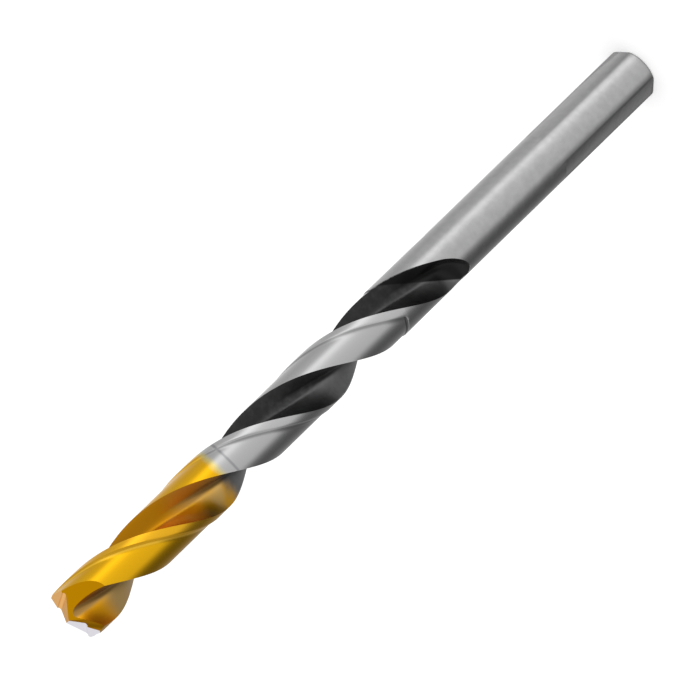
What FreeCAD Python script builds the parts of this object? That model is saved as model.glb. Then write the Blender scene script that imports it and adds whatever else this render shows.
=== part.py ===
import FreeCAD, Part
import math
import os
import Sketcher
from FreeCAD import Vector

# A twist drill with two flutes, ground from one round bar and stood on the end of its shank.
# Z runs along the drill with the point on top, and X runs along its two cutting lips.
# Millimetres and degrees. A level is a height above the end of the shank.

SIZES = {
    # The bar: the lands taper from the drill diameter at the point down to the shank.
    "overall_length": 101.0,
    "drill_diameter": 6.5,
    "shank_diameter": 6.22,
    # Flats on the shank keep it from turning in a chuck.
    "flat_count": 3,
    "flat_length": 16.5,
    "flat_depth": 0.27,
    "flat_end_radius": 0.2,
    "flat_turn": 6.6,
    # The flutes wind to the right, one turn in each lead, and end in a round run-out.
    "helix_lead": 39.4,
    "land_angle": 92.2,
    "web_thickness": 1.2,
    "lip_face_radius": 10.4,
    "flute_root_radius": 1.0,
    "flute_length": 66.9,
    "runout_length": 3.4,
    # Behind a narrow margin that keeps the full diameter, each land is ground lower.
    "margin_angle": 17.7,
    "body_diameter": 6.05,
    "clearance_length": 55.8,
    # The point: main lips outside, and steeper inner lips that end in a hollow riser.
    "point_angle": 135.0,
    "lip_relief": 12.5,
    "inner_point_angle": 115.0,
    "inner_lip_reach": 1.93,
    "riser_angle": 80.0,
    "riser_radius": 0.35,
    # Each lip's face is ground back from the flute's own edge, which stays ahead of it below.
    "edge_turn": 9.3,
    "lip_face_turn": -2.5,
    "lip_face_drop": 35.0,
    "lip_face_depth": 0.25,
    "lip_face_offset": 0.15,
    "lip_face_corner": 0.8,
    # The gash that splits the web runs down along the lip, and opens over the heel.
    "gash_turn": 6.8,
    "gash_drop": 38.6,
    "gash_opening": 138.6,
    "gash_offset": 0.35,
    # How far a cutter reaches past the metal that it takes away.
    "overrun": 1.5,
}

WORKED = {
    "corner_level": "=Sizes.overall_length - Sizes.drill_diameter / 2 / tan(Sizes.point_angle / 2)",
    "flute_angle": "=180 - Sizes.land_angle",
    "flute_level": "=Sizes.overall_length - Sizes.flute_length + Sizes.runout_length",
    # The root of a flute leaves the shank when the cutter has risen this far.
    "runout_rise": "=Sizes.shank_diameter / 2 - Sizes.web_thickness / 2",
    "clearance_level": "=Sizes.overall_length - Sizes.clearance_length",
    "blank_length": "=Sizes.overall_length + Sizes.overrun",
    "cutter_radius": "=Sizes.drill_diameter / 2 + Sizes.overrun",
}

FLUTES = 2
RUNOUT_STEPS = 6
H_AXIS, V_AXIS = -1, -2
ORIGIN = (H_AXIS, 1)
START, END, CENTRE = 1, 2, 3


def fill_sheet(name, cells):
    """A sheet with one named cell for each size."""
    sheet = doc.addObject("Spreadsheet::Sheet", name)
    for row, (alias, content) in enumerate(cells.items(), 1):
        sheet.set(f"A{row}", alias)
        sheet.set(f"B{row}", str(content))
        sheet.setAlias(f"B{row}", alias)
    doc.recompute()


def place(x, y, z, *turns):
    """The expression of a place: a point, then turns about the sketch's own axes, in order."""
    turns = turns or (("0; 0; 1", "0"),)
    rotation = " * ".join(f"rotation(vector({axis}); {angle})" for axis, angle in turns)
    return f"placement(vector({x}; {y}; {z}); {rotation})"


def new_sketch(name, plane, offset):
    """A sketch on one of the body's own planes, at a place that follows the sizes."""
    sketch = body.newObject("Sketcher::SketchObject", name)
    sketch.AttachmentSupport = [(origin[plane], "")]
    sketch.MapMode = "FlatFace"
    sketch.setExpression("AttachmentOffset", offset)
    return sketch


def number(sketch, expression):
    return float(sketch.evalExpression(expression))


def constrain(sketch, expression, kind, *where):
    """A constraint whose value follows the sizes."""
    value = number(sketch, expression)
    if kind == "Angle":
        value = math.radians(value)
    index = sketch.addConstraint(Sketcher.Constraint(kind, *where, value))
    sketch.setExpression(f"Constraints[{index}]", expression)


def relate(sketch, kind, *where):
    """A constraint without a value."""
    sketch.addConstraint(Sketcher.Constraint(kind, *where))


def pin(sketch, geometry, end, x, y):
    """Hold a point of a sketch at x, y."""
    for kind, axis, coordinate in (("DistanceX", V_AXIS, x), ("DistanceY", H_AXIS, y)):
        if coordinate == "0":
            relate(sketch, "PointOnObject", geometry, end, axis)
        else:
            constrain(sketch, coordinate, kind, geometry, end)


def polygon(sketch, corners, rounded=None, radius=""):
    """A closed outline through corners whose coordinates are expressions, the inside on its left.

    One corner may be rounded: its sides still point at it, and an arc touches them both.
    """
    points = [Vector(number(sketch, x), number(sketch, y)) for x, y in corners]
    starts, ends = list(points), points[1:] + points[:1]
    if rounded is not None:
        size = number(sketch, radius)
        corner = points[rounded]
        before, after = ((point - corner).normalize() for point in (points[rounded - 1], ends[rounded]))
        half = before.getAngle(after) / 2
        ends[rounded - 1] = corner + before * (size / math.tan(half))
        starts[rounded] = corner + after * (size / math.tan(half))
        centre = corner + (before + after).normalize() * (size / math.sin(half))
    lines = [sketch.addGeometry(Part.LineSegment(*side)) for side in zip(starts, ends)]
    for i, line in enumerate(lines):
        if i == rounded:
            curve = sketch.addGeometry(arc(centre, size, ends[i - 1], starts[i]))
            held = sketch.addGeometry(Part.Point(corner), True)
            relate(sketch, "Tangent", lines[i - 1], END, curve, START)
            relate(sketch, "Tangent", curve, END, line, START)
            constrain(sketch, radius, "Radius", curve)
            relate(sketch, "PointOnObject", held, START, lines[i - 1])
            relate(sketch, "PointOnObject", held, START, line)
        else:
            held = line
            relate(sketch, "Coincident", lines[i - 1], END, line, START)
        pin(sketch, held, START, *corners[i])


def arc(centre, radius, start, end):
    """A circular arc, anticlockwise from the side of one point to the side of another."""
    angles = [math.atan2(point.y - centre.y, point.x - centre.x) for point in (start, end)]
    return Part.ArcOfCircle(Part.Circle(centre, Vector(0, 0, 1), radius), *angles)


def polar(radius, angle):
    return Vector(radius * math.cos(angle), radius * math.sin(angle))


def centre_on_axis(sketch, circle, diameter):
    """Put a circle or arc round the axis of the drill."""
    relate(sketch, "Coincident", circle, CENTRE, *ORIGIN)
    constrain(sketch, diameter, "Diameter", circle)


def flute_outline(sketch):
    """A flute seen along the drill, with X through the leading edge.

    The lip face is a wide arc that touches the web, the heel wall is radial, and a small arc
    at the root joins them. The wide arc gives a straight lip once the point is ground.
    """
    rim = number(sketch, "Worked.cutter_radius")
    edge = number(sketch, "Sizes.drill_diameter / 2")
    face = number(sketch, "Sizes.lip_face_radius")
    root = number(sketch, "Sizes.flute_root_radius")
    heel = math.radians(number(sketch, "Worked.flute_angle"))

    centre_reach = face + number(sketch, "Sizes.web_thickness / 2")
    centre_x = (edge ** 2 + centre_reach ** 2 - face ** 2) / (2 * edge)
    face_centre = Vector(centre_x, math.sqrt(centre_reach ** 2 - centre_x ** 2))
    spread = math.acos((rim ** 2 + centre_reach ** 2 - face ** 2) / (2 * rim * centre_reach))
    face_out = polar(rim, math.atan2(face_centre.y, face_centre.x) - spread)

    along, across = polar(1, heel), polar(1, heel - math.pi / 2)
    reach = along.dot(face_centre)
    gap = across * root - face_centre
    depth = reach - math.sqrt(reach ** 2 - gap.Length ** 2 + (face - root) ** 2)
    root_centre = along * depth + across * root
    face_in = face_centre + (root_centre - face_centre) * (face / (face - root))

    heel_wall = sketch.addGeometry(Part.LineSegment(along * depth, along * rim))
    root_arc = sketch.addGeometry(arc(root_centre, root, along * depth, face_in))
    face_arc = sketch.addGeometry(arc(face_centre, face, face_in, face_out))
    rim_arc = sketch.addGeometry(arc(Vector(), rim, face_out, along * rim))
    leading_edge = sketch.addGeometry(Part.Point(Vector(edge, 0)), True)
    web_circle = sketch.addGeometry(Part.Circle(Vector(), Vector(0, 0, 1), centre_reach - face), True)

    relate(sketch, "Tangent", heel_wall, START, root_arc, START)
    relate(sketch, "Tangent", root_arc, END, face_arc, START)
    relate(sketch, "Coincident", face_arc, END, rim_arc, START)
    relate(sketch, "Coincident", rim_arc, END, heel_wall, END)
    relate(sketch, "PointOnObject", *ORIGIN, heel_wall)
    constrain(sketch, "Worked.flute_angle", "Angle", heel_wall)
    constrain(sketch, "Sizes.flute_root_radius", "Radius", root_arc)
    constrain(sketch, "Sizes.lip_face_radius", "Radius", face_arc)
    centre_on_axis(sketch, rim_arc, "2 * Worked.cutter_radius")
    centre_on_axis(sketch, web_circle, "Sizes.web_thickness")
    pin(sketch, leading_edge, START, "Sizes.drill_diameter / 2", "0")
    relate(sketch, "PointOnObject", leading_edge, START, face_arc)
    relate(sketch, "Tangent", face_arc, web_circle)


def clearance_outline(sketch):
    """The metal ground off a land, from the back of the margin to half way across the flute."""
    inner, outer = (number(sketch, size) for size in ("Sizes.body_diameter / 2", "Worked.cutter_radius"))
    turns = ("-Sizes.land_angle - Worked.flute_angle / 2", "-Sizes.margin_angle")
    angles = [math.radians(number(sketch, turn)) for turn in turns]
    walls = [sketch.addGeometry(Part.LineSegment(polar(inner, a), polar(outer, a))) for a in angles]
    for radius, end, diameter in ((inner, START, "Sizes.body_diameter"),
                                  (outer, END, "2 * Worked.cutter_radius")):
        ring = sketch.addGeometry(arc(Vector(), radius, *(polar(radius, a) for a in angles)))
        centre_on_axis(sketch, ring, diameter)
        relate(sketch, "Coincident", walls[0], end, ring, START)
        relate(sketch, "Coincident", walls[1], end, ring, END)
    for wall, turn in zip(walls, turns):
        relate(sketch, "PointOnObject", *ORIGIN, wall)
        constrain(sketch, turn, "Angle", wall)


def edge_turn(level):
    """How far the leading edge has turned about Z at a level."""
    return f"Sizes.edge_turn + ({level} - Worked.corner_level) * 360 / Sizes.helix_lead"


def add_feature(kind, name, **settings):
    feature = body.newObject(f"PartDesign::{kind}", name)
    for setting, value in settings.items():
        setattr(feature, setting, value)
    return feature


def helix_cut(name, sketch, level):
    """Carry an outline up the drill on the helix, from a level to past the point."""
    cut = add_feature("SubtractiveHelix", name, Profile=sketch, ReferenceAxis=z_axis,
                      Mode="pitch-height-angle")
    cut.setExpression("Pitch", "Sizes.helix_lead")
    cut.setExpression("Height", f"Worked.blank_length - {level}")
    return cut


def through_cut(name, sketch):
    """Cut an outline right through the bar, both ways from its sketch."""
    return add_feature("Pocket", name, Profile=sketch, Type="ThroughAll", Midplane=True)


def repeat_round(name, cuts, count):
    """Repeat cuts evenly about the axis of the drill."""
    pattern = add_feature("PolarPattern", name, Originals=cuts, Axis=z_axis, Angle=360)
    pattern.setExpression("Occurrences", str(count))
    body.Tip = pattern


def turn_bar():
    """The round bar, taller than the drill by what the point grinding takes off."""
    sketch = new_sketch("bar_profile", "XZ_Plane", place("0", "0", "0"))
    polygon(sketch, [
        ("0", "0"),
        ("Sizes.shank_diameter / 2", "0"),
        ("Sizes.shank_diameter / 2", "Sizes.overall_length - Sizes.flute_length"),
        ("Sizes.drill_diameter / 2", "Worked.corner_level"),
        ("Sizes.drill_diameter / 2", "Worked.blank_length"),
        ("0", "Worked.blank_length"),
    ])
    add_feature("Revolution", "bar", Profile=sketch, ReferenceAxis=z_axis, Angle=360)


def cut_flats():
    """Flats on the shank, each with a small radius where the cutter stopped."""
    sketch = new_sketch("flat_profile", "XZ_Plane",
                        place("0", "0", "0", ("0; 1; 0", "Sizes.flat_turn")))
    face = "Sizes.shank_diameter / 2 - Sizes.flat_depth"
    polygon(sketch, [(face, "-Sizes.overrun"), ("Worked.cutter_radius", "-Sizes.overrun"),
                     ("Worked.cutter_radius", "Sizes.flat_length"), (face, "Sizes.flat_length")],
            3, "Sizes.flat_end_radius")
    repeat_round("flats", [through_cut("flat", sketch)], "Sizes.flat_count")


def cut_clearances():
    """Body clearance on each land, which starts at a small step across the land."""
    level = "Worked.clearance_level"
    sketch = new_sketch("clearance_profile", "XY_Plane",
                        place("0", "0", level, ("0; 0; 1", edge_turn(level))))
    clearance_outline(sketch)
    repeat_round("clearances", [helix_cut("clearance", sketch, level)], FLUTES)


def cut_flutes():
    """The flutes: a helical cut, and a run-out where the cutter rises along a quarter ellipse."""
    sections = []
    for step in range(RUNOUT_STEPS + 1):
        rise_turn = 90 * step / RUNOUT_STEPS
        level = f"(Worked.flute_level - Sizes.runout_length * sin({rise_turn}))"
        rise = f"Worked.runout_rise * (1 - cos({rise_turn}))"
        turn = edge_turn(level)
        rise_way = f"({turn} + Worked.flute_angle / 2)"
        sketch = new_sketch(f"flute_profile_{step}", "XY_Plane",
                            place(f"{rise} * cos{rise_way}", f"{rise} * sin{rise_way}", level,
                                  ("0; 0; 1", turn)))
        flute_outline(sketch)
        sections.append(sketch)
    flute = helix_cut("flute", sections[0], "Worked.flute_level")
    runout = add_feature("SubtractiveLoft", "runout", Profile=sections[0], Sections=sections[1:])
    repeat_round("flutes", [flute, runout], FLUTES)


def grind_point():
    """Each lip's main facet, its lower inner facet, the gash that splits the web, and its face."""
    wide = "Worked.cutter_radius"
    slope = "tan(Sizes.lip_relief)"
    main = new_sketch("main_facet_profile", "YZ_Plane",
                      place("0", "Sizes.overall_length", "0", ("1; 0; 0", "90 - Sizes.point_angle / 2")))
    polygon(main, [(f"-{wide}", f"-{wide} * {slope}"), (wide, f"{wide} * {slope}"),
                   (wide, wide), (f"-{wide}", wide)])

    inner = new_sketch("inner_facet_profile", "XZ_Plane",
                       place("0", "Sizes.overall_length", "0", ("1; 0; 0", "Sizes.lip_relief")))
    reach, fall = "Sizes.inner_lip_reach", "tan(90 - Sizes.inner_point_angle / 2)"
    polygon(inner, [(f"-{wide}", f"{wide} * {fall}"), (reach, f"-{reach} * {fall}"),
                    (f"{reach} + ({wide} + {reach}) * {fall} / tan(Sizes.riser_angle)", f"{wide} * {fall}")],
            1, "Sizes.riser_radius")

    gash = new_sketch("gash_profile", "YZ_Plane",
                      place("0", "Sizes.overall_length", "0",
                            ("0; 1; 0", "Sizes.gash_turn"), ("1; 0; 0", "Sizes.gash_drop")))
    polygon(gash, [("Sizes.gash_offset", "0"),
                   (wide, f"-({wide} - Sizes.gash_offset) * tan(Sizes.gash_opening - 90)"),
                   (wide, wide), ("Sizes.gash_offset", wide)])

    face = new_sketch("lip_face_profile", "YZ_Plane",
                      place("0", "Sizes.overall_length", "0",
                            ("0; 1; 0", "Sizes.lip_face_turn"), ("1; 0; 0", "Sizes.lip_face_drop")))
    polygon(face, [("Sizes.lip_face_offset", "-Sizes.lip_face_depth"), (wide, "-Sizes.lip_face_depth"),
                   (wide, wide), ("Sizes.lip_face_offset", wide)], 0, "Sizes.lip_face_corner")

    cuts = [through_cut(name, sketch) for name, sketch in (
        ("main_facet", main), ("inner_facet", inner), ("gash", gash), ("lip_face", face))]
    repeat_round("point", cuts, FLUTES)


doc = FreeCAD.newDocument("twist_drill")
fill_sheet("Sizes", SIZES)
fill_sheet("Worked", WORKED)
body = doc.addObject("PartDesign::Body", "drill_bit")
origin = {feature.Role: feature for feature in body.Origin.OriginFeatures}
z_axis = (origin["Z_Axis"], [""])

for step in (turn_bar, cut_flats, cut_clearances, cut_flutes, grind_point):
    step()
    doc.recompute()
    print(f"{step.__name__}: {body.Shape.Volume:.2f} cubic millimetres")

failed = [item.Label for item in doc.Objects if {"Invalid", "Error"} & set(item.State)]
if failed:
    raise RuntimeError(f"failed to build: {failed}")
if body.Shape.isNull() or not body.Shape.isValid() or len(body.Shape.Solids) != 1:
    raise RuntimeError("the drill is not one sound solid")

os.makedirs("parts", exist_ok=True)
body.Shape.exportStep(f"parts/{body.Label}.step")
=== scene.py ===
import math

import bpy
import numpy as np
from mathutils import Matrix, Vector


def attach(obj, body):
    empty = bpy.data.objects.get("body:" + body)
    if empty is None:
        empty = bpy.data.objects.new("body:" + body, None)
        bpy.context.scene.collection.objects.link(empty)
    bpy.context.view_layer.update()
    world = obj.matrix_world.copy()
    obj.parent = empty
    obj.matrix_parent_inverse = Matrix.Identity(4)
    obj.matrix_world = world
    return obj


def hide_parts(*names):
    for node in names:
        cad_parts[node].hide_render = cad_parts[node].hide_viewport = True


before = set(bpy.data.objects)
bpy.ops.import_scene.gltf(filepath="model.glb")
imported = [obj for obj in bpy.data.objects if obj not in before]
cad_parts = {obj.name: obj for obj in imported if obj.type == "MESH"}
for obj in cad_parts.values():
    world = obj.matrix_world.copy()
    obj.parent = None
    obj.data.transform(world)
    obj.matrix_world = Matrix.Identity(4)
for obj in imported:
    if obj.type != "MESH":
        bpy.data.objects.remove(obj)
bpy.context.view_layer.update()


# The drill: a bar of high-speed steel with two helical flutes, which run out round in its shank.
# The lands between them are cleared behind a narrow margin, the shank has three flats for the
# jaws of a chuck, and the point is split. Its sizes are in millimetres, and it stands on its shank.

# Levels are heights above the shank's end. The corner is the outer end of a lip.
LENGTH, RADIUS, SHANK_RADIUS, BODY_RADIUS = 101.0, 3.25, 3.11, 3.025
LEAD, WEB_HALF, END_RADIUS = 39.4, 0.6, 0.2
FACE_RADIUS, ROOT_RADIUS = 10.4, 1.0
FLUTE_ANGLE, MARGIN_ANGLE, MARGIN_FILLET = math.radians(87.8), math.radians(17.7), math.radians(13)
POINT_HALF, CORNER_TURN = math.radians(67.5), math.radians(9.3)
CORNER_LEVEL = LENGTH - RADIUS / math.tan(POINT_HALF)
FLUTE_LEVEL, RUNOUT_LENGTH = 37.5, 3.4
RUNOUT_LEVEL = FLUTE_LEVEL - RUNOUT_LENGTH
CLEARANCE_LEVEL, CLEARANCE_RUNOUT = LENGTH - 55.8, 0.35
OVERRUN, ROW = 1.2, 0.2
FLUTE_STEPS, LAND_STEPS, FILLET_STEPS, MARGIN_STEPS = 48, 19, 10, 5

# The order of the finishes in the drill's mesh.
GROUND, FLUTE, FLANK, PAINTED_REFLECTION_FLANK, GASH, LIP_FACE = range(6)


def flute_curve(samples=900):
    """The flute in section, from past the leading edge to past the heel, by its length.

    A wide arc, the lip's face, touches the web and passes through the leading edge. A small
    root arc leads from it into the heel wall, which is radial.
    """
    rim = RADIUS + 0.5
    reach = FACE_RADIUS + WEB_HALF
    centre_x = (RADIUS ** 2 + reach ** 2 - FACE_RADIUS ** 2) / (2 * RADIUS)
    centre = np.array([centre_x, math.sqrt(reach ** 2 - centre_x ** 2)])
    along = np.array([math.cos(FLUTE_ANGLE), math.sin(FLUTE_ANGLE)])
    aside = np.array([math.sin(FLUTE_ANGLE), -math.cos(FLUTE_ANGLE)])
    gap = aside * ROOT_RADIUS - centre
    inside = FACE_RADIUS - ROOT_RADIUS
    depth = along @ centre - math.sqrt((along @ centre) ** 2 - gap @ gap + inside ** 2)
    root_centre = along * depth + aside * ROOT_RADIUS
    touch = centre + (root_centre - centre) * FACE_RADIUS / inside
    spread = math.acos((rim ** 2 + reach ** 2 - FACE_RADIUS ** 2) / (2 * rim * reach))
    rim_turn = math.atan2(centre[1], centre[0]) - spread
    outer = rim * np.array([math.cos(rim_turn), math.sin(rim_turn)])

    def sweep(middle, radius, start, end):
        """The arc clockwise from one point to another."""
        a, b = (math.atan2(*(point - middle)[::-1]) for point in (start, end))
        angles = np.linspace(a, a - (a - b) % math.tau, samples)
        return middle + radius * np.stack([np.cos(angles), np.sin(angles)], 1)

    face = sweep(centre, FACE_RADIUS, outer, touch)
    root = sweep(root_centre, ROOT_RADIUS, touch, along * depth)
    wall = along * np.linspace(depth, rim, samples)[:, None]
    points = np.concatenate([face, root[1:], wall[1:]])
    length = np.concatenate([[0], np.cumsum(np.linalg.norm(np.diff(points, axis=0), axis=1))])
    return points, length


def drill_rows():
    """Levels, how far the flute cutter has risen at each, and the share of the clearance there.

    The shank's end is a quarter round. Down the run-out the level falls as a sine and the cutter
    rises as one less a cosine. The clearance deepens as one less a square.
    """
    turns = np.linspace(math.pi / 2, 0, 40)
    end_round = END_RADIUS * (1 - np.cos(np.linspace(0, math.pi / 2, 7)))
    shank = np.linspace(1, 34, 14)
    runout = FLUTE_LEVEL - RUNOUT_LENGTH * np.sin(turns)
    fluted = np.arange(FLUTE_LEVEL + ROW, CLEARANCE_LEVEL - ROW / 2, ROW)
    clearing = CLEARANCE_LEVEL + CLEARANCE_RUNOUT * np.linspace(0, 1, 8)
    cleared = np.arange(CLEARANCE_LEVEL + CLEARANCE_RUNOUT + ROW, LENGTH + OVERRUN, ROW)
    levels = np.concatenate([end_round, shank, runout, fluted, clearing, cleared])

    rises = np.concatenate([np.ones(len(end_round) + len(shank)), 1 - np.cos(turns)])
    rises = np.concatenate([rises, np.zeros(len(levels) - len(rises))]) * (SHANK_RADIUS - WEB_HALF)
    share = np.clip((levels - CLEARANCE_LEVEL) / CLEARANCE_RUNOUT, 0, 1)
    return levels, rises, 1 - (1 - share) ** 2


def drill_points():
    """Points by level and column, twice from lip edge over flute and land to the next lip edge.

    A flute's columns divide the part of its curve that lies inside the bar, which ends where
    the curve, moved out by the rise, crosses the bar's radius. They draw together near both
    edges. A land's columns divide the angle that is left: they lie on the body, rise over the
    margin's foot by a power of 1.6, and stay on the bar's radius over the margin. The whole
    section turns with the level, one turn in each lead.
    """
    levels, rises, cleared = drill_rows()
    flute_level = np.maximum(levels, RUNOUT_LEVEL)
    taper = np.clip((levels - RUNOUT_LEVEL) / (CORNER_LEVEL - RUNOUT_LEVEL), 0, 1)
    bar = SHANK_RADIUS + (RADIUS - SHANK_RADIUS) * taper
    land = bar + (BODY_RADIUS - bar) * cleared

    curve, length = flute_curve()
    way = np.array([math.cos(FLUTE_ANGLE / 2), math.sin(FLUTE_ANGLE / 2)])
    moved = curve[None] + rises[:, None, None] * way
    distance = np.linalg.norm(moved, axis=2)
    row = np.arange(len(levels))

    def crossing(inside, limit, step):
        """The length along the curve at which it crosses a radius, found between two samples."""
        first = np.argmax(inside, axis=1)
        last = len(length) - 1 - np.argmax(inside[:, ::-1], axis=1)
        found = first if step < 0 else last
        other = np.clip(found + step, 0, len(length) - 1)
        near, far = distance[row, found], distance[row, other]
        share = np.clip((limit - near) / np.where(far == near, 1, far - near), 0, 1)
        return length[found] + share * (length[other] - length[found])

    lip = crossing(distance <= bar[:, None], bar, -1)
    heel = crossing(distance <= land[:, None], land, 1)
    closed = levels <= RUNOUT_LEVEL + 1e-6
    middle = length[np.argmin(distance[closed][-1])]
    lip, heel = (np.where(closed, middle, edge) for edge in (lip, heel))

    share = np.linspace(0, 1, FLUTE_STEPS + 1)
    share = share - 0.06 * np.sin(math.tau * share)
    place = lip[:, None] + (heel - lip)[:, None] * share
    flute = np.stack([np.interp(place, length, curve[:, i]) for i in (0, 1)], 2)
    flute = flute + rises[:, None, None] * way
    flute_turn = np.arctan2(flute[..., 1], flute[..., 0])
    flute_radius = np.linalg.norm(flute, axis=2)
    flute_radius[:, 0], flute_radius[:, -1] = bar, land
    flute_radius = np.where(closed[:, None], bar[:, None], flute_radius)

    back = math.pi - MARGIN_ANGLE
    foot = back - MARGIN_FILLET
    climb = np.linspace(0, 1, FILLET_STEPS + 1)[1:]
    marks = np.concatenate([np.linspace(FLUTE_ANGLE, foot, LAND_STEPS + 1)[1:],
                            back - MARGIN_FILLET * (1 - climb),
                            np.linspace(back, math.pi, MARGIN_STEPS + 1)[1:-1]])
    marks = (marks - FLUTE_ANGLE) / (math.pi - FLUTE_ANGLE)
    start, end = flute_turn[:, -1:], flute_turn[:, :1] + math.pi
    land_turn = start + (end - start) * marks
    step = np.concatenate([np.zeros(LAND_STEPS), climb ** 1.6, np.ones(MARGIN_STEPS - 1)])
    land_radius = land[:, None] + (bar - land)[:, None] * step

    turn = np.concatenate([flute_turn, land_turn], 1)
    radius = np.concatenate([flute_radius, land_radius], 1)
    drop = np.clip(1 - levels / END_RADIUS, 0, 1)
    radius -= END_RADIUS * (1 - np.sqrt(1 - drop ** 2))[:, None]
    turn = turn + (CORNER_TURN + (flute_level - CORNER_LEVEL) * math.tau / LEAD)[:, None]
    turn, radius = np.concatenate([turn, turn + math.pi], 1), np.tile(radius, 2)
    height = np.broadcast_to(levels[:, None], turn.shape)
    return np.stack([radius * np.cos(turn), radius * np.sin(turn), height], 2)


def grid_mesh(name, points):
    """A closed mesh of quads round the drill, with a flat face at each end.

    In each half of a row the first quads lie in a flute, and the rest are ground.
    """
    rows, columns = points.shape[:2]
    index = np.arange(rows * columns).reshape(rows, columns)
    right = np.roll(index, -1, axis=1)
    quads = np.stack([index[:-1], right[:-1], right[1:], index[1:]], 2).reshape(-1, 4)
    mesh = bpy.data.meshes.new(name)
    faces = quads.tolist() + [index[0, ::-1].tolist(), index[-1].tolist()]
    mesh.from_pydata(points.reshape(-1, 3), [], faces)
    half_row = np.where(np.arange(columns // 2) < FLUTE_STEPS, FLUTE, GROUND)
    slots = np.concatenate([np.tile(half_row, 2 * (rows - 1)), [GROUND, GROUND]])
    mesh.polygons.foreach_set("material_index", slots.astype(np.int32))
    return mesh


# How far the cutters reach up and through the drill, and how far to each side of its axis.
CUT, SIDE = 9, 5


def prism(name, outline, base, across, up, slot):
    """A cutter: an outline in two directions from a base point, carried both ways at right angles."""
    across, up = Vector(across), Vector(up)
    aside = across.cross(up) * CUT
    base = Vector(base)
    ring = [base + across * a + up * b for a, b in outline]
    count = len(ring)
    mesh = bpy.data.meshes.new(name)
    sides = [[i, (i + 1) % count, (i + 1) % count + count, i + count] for i in range(count)]
    mesh.from_pydata([p - aside for p in ring] + [p + aside for p in ring], [],
                     sides + [list(range(count))[::-1], list(range(count, 2 * count))])
    mesh.polygons.foreach_set("material_index", np.full(len(mesh.polygons), slot, np.int32))
    cutter = bpy.data.objects.new(name, mesh)
    bpy.context.scene.collection.objects.link(cutter)
    return cutter


def rounded(outline, corner, radius, steps=8):
    """An outline with one corner turned into an arc that touches both of its sides."""
    before, at, after = (np.array(outline[corner + i], float) for i in (-1, 0, 1))
    one, two = ((p - at) / np.linalg.norm(p - at) for p in (before, after))
    half = math.acos(one @ two) / 2
    centre = at + (one + two) / np.linalg.norm(one + two) * radius / math.sin(half)
    start, end = at + one * radius / math.tan(half), at + two * radius / math.tan(half)
    a, b = (math.atan2(*(p - centre)[::-1]) for p in (start, end))
    b = a + (b - a + math.pi) % math.tau - math.pi
    arc = [tuple(centre + radius * np.array([math.cos(t), math.sin(t)]))
           for t in np.linspace(a, b, steps)]
    return outline[:corner] + arc + outline[corner + 1:]


def flat_cutters():
    """Three flats on the shank, each ending in a quarter round."""
    depth, end, radius, outside, below = SHANK_RADIUS - 0.27, 16.5, 0.2, 6, -2
    first_turn, count = math.radians(6.6), 3
    angles = np.linspace(math.pi / 2, math.pi, 7)
    corner = [(depth + radius + radius * math.cos(a), end - radius + radius * math.sin(a)) for a in angles]
    outline = [(outside, below), (outside, end), *corner, (depth, below)]
    turns = [first_turn + math.tau * i / count for i in range(count)]
    return [prism("flat", outline, (0, 0, 0), (math.cos(t), math.sin(t), 0), (0, 0, 1), GROUND)
            for t in turns]


def turned(direction, half_turns):
    """A direction after so many half turns about Z."""
    sign = -1 if half_turns else 1
    return (sign * direction[0], sign * direction[1], direction[2])


def leaning(turn, lean):
    """The two directions of a plane upright on the drill, turned about Z and then leaning over."""
    level = (-math.sin(turn), math.cos(turn), 0)
    upward = (math.sin(lean) * math.cos(turn), math.sin(lean) * math.sin(turn), math.cos(lean))
    return level, upward


def point_cutters():
    """For each lip a main facet, a lower inner facet, the gash over the heel and the lip's face.

    The main facet slopes with the point's angle and falls behind the lip with its relief. The
    inner facet belongs to a sharper point and ends in a steep riser with a round foot. The
    gash and the lip's face are cut along leaning planes, each with a corner beside the web.
    """
    tip = (0, 0, LENGTH)
    slope, tilt = math.pi / 2 - POINT_HALF, math.radians(12.5)
    wide = SIDE + 1
    main = [(-wide, -wide * math.tan(tilt)), (wide, wide * math.tan(tilt)), (wide, CUT), (-wide, CUT)]

    fall, reach, riser = math.tan(math.radians(32.5)), 1.93, math.tan(math.radians(10))
    foot = (reach, -reach * fall)
    top = (reach + (CUT + reach * fall) * riser, CUT)
    inner = rounded([(-SIDE, SIDE * fall), foot, top, (-SIDE, CUT)], 1, 0.35)

    gash_start, opening = 0.35, math.tan(math.radians(48.6))
    gash = [(gash_start, 0), (SIDE, (gash_start - SIDE) * opening), (SIDE, CUT), (gash_start, CUT)]
    gash_plane = leaning(math.radians(6.8), math.radians(38.6))

    face_start, face_depth = 0.15, 0.25
    lip_face = [(face_start, -face_depth), (SIDE, -face_depth), (SIDE, CUT), (face_start, CUT)]
    lip_face = rounded(lip_face, 0, 0.8, 12)
    lip_plane = leaning(math.radians(-2.5), math.radians(35))

    # On one half the main and inner facets take a white finish that is a painted reflection.
    cuts = [("main_facet", main, (0, 1, 0), (math.sin(slope), 0, math.cos(slope)), (PAINTED_REFLECTION_FLANK, FLANK)),
            ("inner_facet", inner, (1, 0, 0), (0, -math.sin(tilt), math.cos(tilt)), (PAINTED_REFLECTION_FLANK, FLANK)),
            ("gash", gash, *gash_plane, (GASH, GASH)),
            ("lip_face", lip_face, *lip_plane, (LIP_FACE, LIP_FACE))]
    return [prism(name, outline, tip, turned(across, half), turned(up, half), slots[half])
            for half in (0, 1) for name, outline, across, up, slots in cuts]


# The finishes, in metres: bright ground steel, black flutes, and a gold-coloured coating from
# the point down to an edge that slants a little. Shares run from 0 to 1.
GOLD, STEEL = (0.745, 0.40, 0.008, 1), (0.39, 0.39, 0.39, 1)
COATING_LEVEL, COATING_TURN, COATING_LEAN = 0.0747, math.radians(68.1), 0.5


def grey(tone):
    """A grey colour."""
    return (tone, tone, tone, 1)


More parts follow.
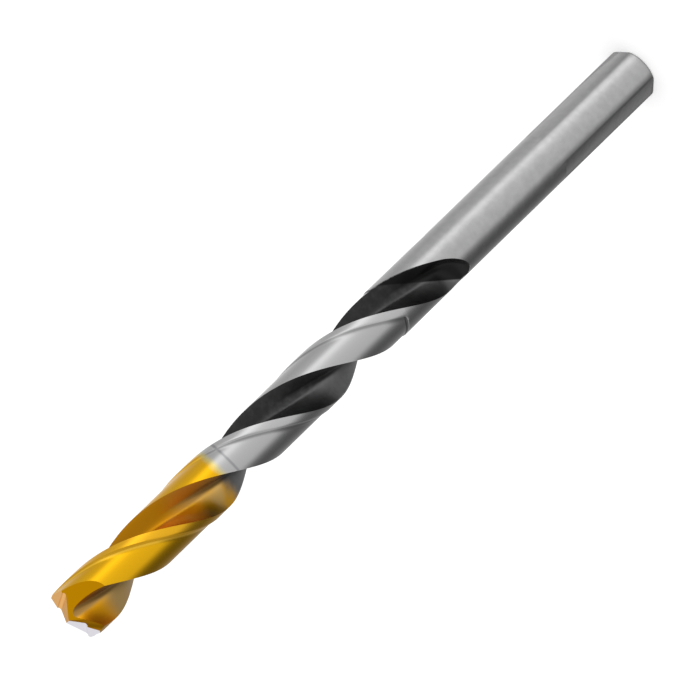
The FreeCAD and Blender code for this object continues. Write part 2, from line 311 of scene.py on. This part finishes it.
def add(tree, kind, *links, **settings):
    """A shader node with its settings and its inputs, each a value or another node's output."""
    made = tree.nodes.new(kind)
    for name, value in settings.items():
        setattr(made, name, value)
    for socket, value in links:
        if isinstance(value, bpy.types.NodeSocket):
            tree.links.new(value, made.inputs[socket])
        else:
            made.inputs[socket].default_value = value
    return made


def metal(name, roughness):
    """A bare metal material, its shader and the place on the drill."""
    finish = bpy.data.materials.new(name)
    finish.use_nodes = True
    tree = finish.node_tree
    shader = tree.nodes["Principled BSDF"]
    shader.inputs["Metallic"].default_value = 1
    shader.inputs["Roughness"].default_value = roughness
    place = add(tree, "ShaderNodeTexCoord").outputs["Object"]
    return finish, tree, shader, place


def plain_metal(name, colour):
    """A bare metal material of one colour, a little rougher than the rest."""
    finish, tree, shader, place = metal(name, 0.35)
    shader.inputs["Base Color"].default_value = colour
    return finish


def spots(tree, place, scale, stretch=(1, 1, 1), detail=3.0):
    """Even noise about zero, with so many cells in a metre, stretched along the axes."""
    moved = add(tree, "ShaderNodeMapping", ("Vector", place), ("Scale", stretch)).outputs["Vector"]
    noise = add(tree, "ShaderNodeTexNoise", ("Vector", moved), ("Scale", scale), ("Detail", detail))
    return add(tree, "ShaderNodeMath", (0, noise.outputs["Fac"]), (1, 0.5), operation="SUBTRACT").outputs[0]


def shifted(tree, value, noise, amount):
    """A value with so much of a noise added."""
    shift = add(tree, "ShaderNodeMath", (0, noise), (1, amount), (2, value), operation="MULTIPLY_ADD")
    return shift.outputs[0]


def rising(tree, value, low, high):
    """A soft step from none at one value to all at another."""
    step = add(tree, "ShaderNodeMapRange", ("Value", value), ("From Min", low), ("From Max", high),
               interpolation_type="SMOOTHSTEP")
    return step.outputs["Result"]


def both(tree, one, two):
    """The share in which two shares meet: their product."""
    return add(tree, "ShaderNodeMath", (0, one), (1, two), operation="MULTIPLY").outputs[0]


def blend(tree, share, one, two):
    """One colour turning into another by a share."""
    mix = add(tree, "ShaderNodeMix", (0, share), (6, one), (7, two), data_type="RGBA")
    return mix.outputs[2]


def leaning_level(tree, place, turn, lean):
    """The height of a place, less its distance out at one turn about Z times a lean."""
    slope = (-lean * math.cos(turn), -lean * math.sin(turn), 1)
    level = add(tree, "ShaderNodeVectorMath", (0, place), (1, slope), operation="DOT_PRODUCT")
    return level.outputs["Value"]


def coated(tree, place, level, bare, gold):
    """The coating over the bare colour, with a ragged pale edge."""
    ragged = shifted(tree, level, spots(tree, place, 900), 0.0005)
    edge = rising(tree, ragged, COATING_LEVEL - 0.0006, COATING_LEVEL + 0.0003)
    pale = blend(tree, edge, bare, (0.62, 0.52, 0.2, 1))
    return blend(tree, rising(tree, ragged, COATING_LEVEL, COATING_LEVEL + 0.0009), pale, gold)


def from_axis(tree, place):
    """The distance from the axis of the drill, and the height."""
    apart = add(tree, "ShaderNodeSeparateXYZ", ("Vector", place)).outputs
    flat = add(tree, "ShaderNodeCombineXYZ", ("X", apart["X"]), ("Y", apart["Y"])).outputs[0]
    return add(tree, "ShaderNodeVectorMath", (0, flat), operation="LENGTH").outputs["Value"], apart["Z"]


def from_lip(tree, place):
    """How far round from a lip edge a place is, in half turns, following the flutes.

    The turn about Z, less that of the lip edge at this height, keeps only its fraction.
    """
    apart = add(tree, "ShaderNodeSeparateXYZ", ("Vector", place)).outputs
    turn = add(tree, "ShaderNodeMath", (0, apart["Y"]), (1, apart["X"]), operation="ARCTAN2").outputs[0]
    turn = shifted(tree, 2 * CORNER_LEVEL / LEAD - CORNER_TURN / math.pi, turn, 1 / math.pi)
    turn = shifted(tree, turn, apart["Z"], -2000 / LEAD)
    return add(tree, "ShaderNodeMath", (0, turn), operation="FRACT").outputs[0]


# The ground steel of shank and lands: painted shade at the margins' foot, where the gold is
# brightened instead as painted light, with a dark ring of painted shade in the step where the
# clearance starts and a faint line a little below the coating.
steel, tree, shader, place = metal("ground_steel", 0.22)
radius, height = from_axis(tree, place)
level = leaning_level(tree, place, COATING_TURN, COATING_LEAN)
clearance, body = CLEARANCE_LEVEL / 1000, BODY_RADIUS / 1000
cleared = rising(tree, height, clearance - 0.0004, clearance - 0.0001)
# A dark ring of painted shade in the step where the clearance starts.
ring = both(tree, rising(tree, height, clearance - 0.00012, clearance - 0.00002),
            rising(tree, height, clearance + 0.0005, clearance + 0.0003))
margin = both(tree, rising(tree, radius, body + 0.000075, body + 0.000095), cleared)
grain = spots(tree, place, 700, (1, 1, 0.3))
grained_radius = shifted(tree, radius, grain, 0.00002)
# The margins' concave foot, where shade is painted on the steel and light on the gold.
foot = both(tree, rising(tree, grained_radius, body + 0.000001, body + 0.000045), cleared)
line_level = COATING_LEVEL - 0.0017
line = both(tree, rising(tree, level, line_level - 0.0003, line_level),
            rising(tree, level, line_level + 0.0003, line_level))
bare = blend(tree, rising(tree, spots(tree, place, 1100), -0.25, 0.25), STEEL, grey(0.43))
bare = blend(tree, cleared, bare, grey(0.44))
# Painted shade: darker steel at the margins' foot.
bare = blend(tree, foot, bare, grey(0.3))
# Painted shade in the clearance's step.
bare = blend(tree, ring, bare, grey(0.13))
bare = blend(tree, margin, bare, grey(0.48))
bare = blend(tree, line, bare, (0.29, 0.29, 0.3, 1))
# Painted light: brighter gold at the margins' foot.
gold = blend(tree, foot, GOLD, (0.97, 0.57, 0.05, 1))
gold = blend(tree, margin, gold, (0.79, 0.42, 0.02, 1))
tree.links.new(coated(tree, place, level, bare, gold), shader.inputs["Base Color"])

# The flutes: black, with painted shade towards the heel and in the run-out and painted light on
# the lip's side, and rubbed bare along their edges. The coating on them has painted shade in brown
# on the heel's side, and painted light in orange and tan on the lip's side.
flute, tree, shader, place = metal("blackened_flute", 0.3)
radius, height = from_axis(tree, place)
level = leaning_level(tree, place, COATING_TURN, COATING_LEAN)
aside = from_lip(tree, place)
# Painted light on the lip's side of each flute, painted shade towards its heel.
lip_side_light = rising(tree, aside, 0.34, 0.1)
ragged_radius = shifted(tree, radius, spots(tree, place, 2500), 0.0003)
rubbed = rising(tree, ragged_radius, 0.00298, 0.00316)
# Painted shade: the black darkens in the run-out's crease.
run_out_shade = rising(tree, leaning_level(tree, place, math.radians(133.6), 1.6), 0.0397, 0.03935)
black = blend(tree, lip_side_light, grey(0.045), grey(0.2))
black = blend(tree, rising(tree, spots(tree, place, 1200), -0.2, 0.7), black, grey(0.1))
black = blend(tree, run_out_shade, black, grey(0.022))
bare = blend(tree, rubbed, black, STEEL)

# Between 79 and 96 mm up, the heel's side of the coating is more orange.
middle_heights = both(tree, rising(tree, height, 0.079, 0.084), rising(tree, height, 0.096, 0.088))
# Painted shade: the coating is brown on the heel's side.
heel_side = blend(tree, middle_heights, (0.40, 0.22, 0.06, 1), (0.55, 0.23, 0.006, 1))
cloudy = rising(tree, spots(tree, place, 350, detail=1), -0.15, 0.15)
front = blend(tree, cloudy, (0.88, 0.44, 0.015, 1), (0.88, 0.55, 0.17, 1))
# Near the point the coating is tan, orange at the very top, and painted shade in brown away from the lip.
beside_point = rising(tree, height, 0.0943, 0.0973)
tip = blend(tree, beside_point, (0.62, 0.4, 0.14, 1), (0.96, 0.45, 0.01, 1))
tip = blend(tree, rising(tree, aside, 0.08, 0.24), tip, (0.46, 0.28, 0.09, 1))
front = blend(tree, rising(tree, height, 0.086, 0.092), front, tip)
# Painted light on the lip's side, painted shade on the heel's side.
tinted = blend(tree, lip_side_light, heel_side, front)
cloudy_level = shifted(tree, level, spots(tree, place, 500), 0.002)
coating = rising(tree, cloudy_level, COATING_LEVEL - 0.0009, COATING_LEVEL + 0.0013)
tree.links.new(blend(tree, coating, bare, tinted), shader.inputs["Base Color"])

finishes = [steel, flute,
            plain_metal("ground_point", (0.78, 0.43, 0.15, 1)),
            # The white finish is a painted reflection of bright light on one half's main and inner facets.
            plain_metal("point_painted_reflection", (0.96, 0.94, 1, 1)),
            plain_metal("ground_gash", (0.54, 0.245, 0.001, 1)),
            plain_metal("ground_face", (0.27, 0.12, 0.002, 1))]

drill = bpy.data.objects.new("drill", grid_mesh("drill", drill_points()))
for finish in finishes:
    drill.data.materials.append(finish)
bpy.context.scene.collection.objects.link(drill)
for number, cutter in enumerate(flat_cutters() + point_cutters()):
    for finish in finishes:
        cutter.data.materials.append(finish)
    cut = drill.modifiers.new(f"cut_{number}", "BOOLEAN")
    cut.object, cut.operation, cut.solver = cutter, "DIFFERENCE", "EXACT"
bpy.context.view_layer.update()
cut_mesh = bpy.data.meshes.new_from_object(drill.evaluated_get(bpy.context.evaluated_depsgraph_get()))
for modifier in list(drill.modifiers):
    cutter = modifier.object
    drill.modifiers.remove(modifier)
    bpy.data.meshes.remove(cutter.data)
drill.data = cut_mesh
cut_mesh.name = "drill"
cut_mesh.transform(Matrix.Scale(0.001, 4))
cut_mesh.shade_smooth()
cut_mesh.set_sharp_from_angle(angle=math.radians(28))

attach(drill, "root")
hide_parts("drill_bit")


# The stage: a white floor, and soft light that is even from all sides. What the metal mirrors is
# a light tent with a bright strip on one side of the drill and a dark card on the other.
bpy.ops.mesh.primitive_circle_add(radius=1.5, fill_type="NGON", vertices=96, location=(0, 0, 0))
floor = bpy.context.object
floor.name = "floor"
paint = bpy.data.materials.new("floor")
paint.use_nodes = True
tree = paint.node_tree
shader = tree.nodes["Principled BSDF"]
shader.inputs["Base Color"].default_value = grey(0.9)
shader.inputs["Roughness"].default_value = 1
shader.inputs["Specular IOR Level"].default_value = 0
seen = add(tree, "ShaderNodeLightPath").outputs["Is Camera Ray"]
shader.inputs["Emission Color"].default_value = grey(1)
tree.links.new(both(tree, seen, 0.25), shader.inputs["Emission Strength"])
floor.data.materials.append(paint)
floor.visible_glossy = False

# The tent's wall, from behind the drill by its dark side to the front and on by its bright side:
# the angle from the camera in degrees, and the tone.
TENT = [(180, 0.5), (130, 0.26), (99, 0.15), (80, 0.18), (69, 0.27), (61, 0.42), (44, 0.93), (0, 1.06),
        (-20, 1.2), (-44, 1.78), (-52, 1.65), (-61, 1.18), (-68, 0.88), (-103, 0.7), (-140, 0.8), (-180, 1)]
CAMERA_TURN = math.radians(68.06)
BRIGHTEST = 2
world = bpy.data.worlds.new("studio")
world.use_nodes = True
tree = world.node_tree
way = add(tree, "ShaderNodeTexCoord").outputs["Generated"]
turned_way = add(tree, "ShaderNodeMapping", ("Vector", way), ("Rotation", (0, 0, -CAMERA_TURN)))
round_way = add(tree, "ShaderNodeTexGradient", ("Vector", turned_way.outputs["Vector"]),
                gradient_type="RADIAL")
ramp = add(tree, "ShaderNodeValToRGB", ("Fac", round_way.outputs["Fac"]))
stops = ramp.color_ramp.elements
for angle, tone in TENT[1:-1]:
    stops.new(0.5 - angle / 360)
for stop, (angle, tone) in zip(stops, TENT):
    stop.position, stop.color = 0.5 - angle / 360, grey(tone / BRIGHTEST)
wall = add(tree, "ShaderNodeMix", (0, 1.0), (6, ramp.outputs["Color"]), (7, grey(BRIGHTEST)),
           data_type="RGBA", blend_type="MULTIPLY").outputs[2]
upward = add(tree, "ShaderNodeSeparateXYZ", ("Vector", way)).outputs["Z"]
mirrored = blend(tree, rising(tree, upward, -0.64, -0.78), wall, grey(0.42))
mirrored = blend(tree, rising(tree, upward, -0.46, -0.2), mirrored, grey(0.6))
mirrored = blend(tree, rising(tree, upward, 0.15, 0.6), mirrored, grey(1.02))
glossy = add(tree, "ShaderNodeLightPath").outputs["Is Glossy Ray"]
light = blend(tree, glossy, grey(1), mirrored)
tree.links.new(light, tree.nodes["Background"].inputs["Color"])
bpy.context.scene.world = world

# The camera looks down at the drill's middle from afar, rolled so that the drill lies slanted.
camera = bpy.data.objects.new("camera", bpy.data.cameras.new("camera"))
bpy.context.scene.collection.objects.link(camera)
camera.data.sensor_width = 36
camera.data.lens = 632.64
elevation, roll = math.radians(33.538), math.radians(-134.178)
aim, distance = Vector((0.00016, -0.000065, 0.051782)), 1.314276
flat = math.cos(elevation)
back = Vector((flat * math.cos(CAMERA_TURN), flat * math.sin(CAMERA_TURN), math.sin(elevation)))
facing = back.to_track_quat("Z", "Y").to_matrix().to_4x4()
camera.matrix_world = Matrix.Translation(aim + back * distance) @ facing @ Matrix.Rotation(roll, 4, "Z")
camera.data.clip_start, camera.data.clip_end = 0.1, 10
bpy.context.scene.camera = camera
bpy.context.scene.view_settings.view_transform = "Standard"
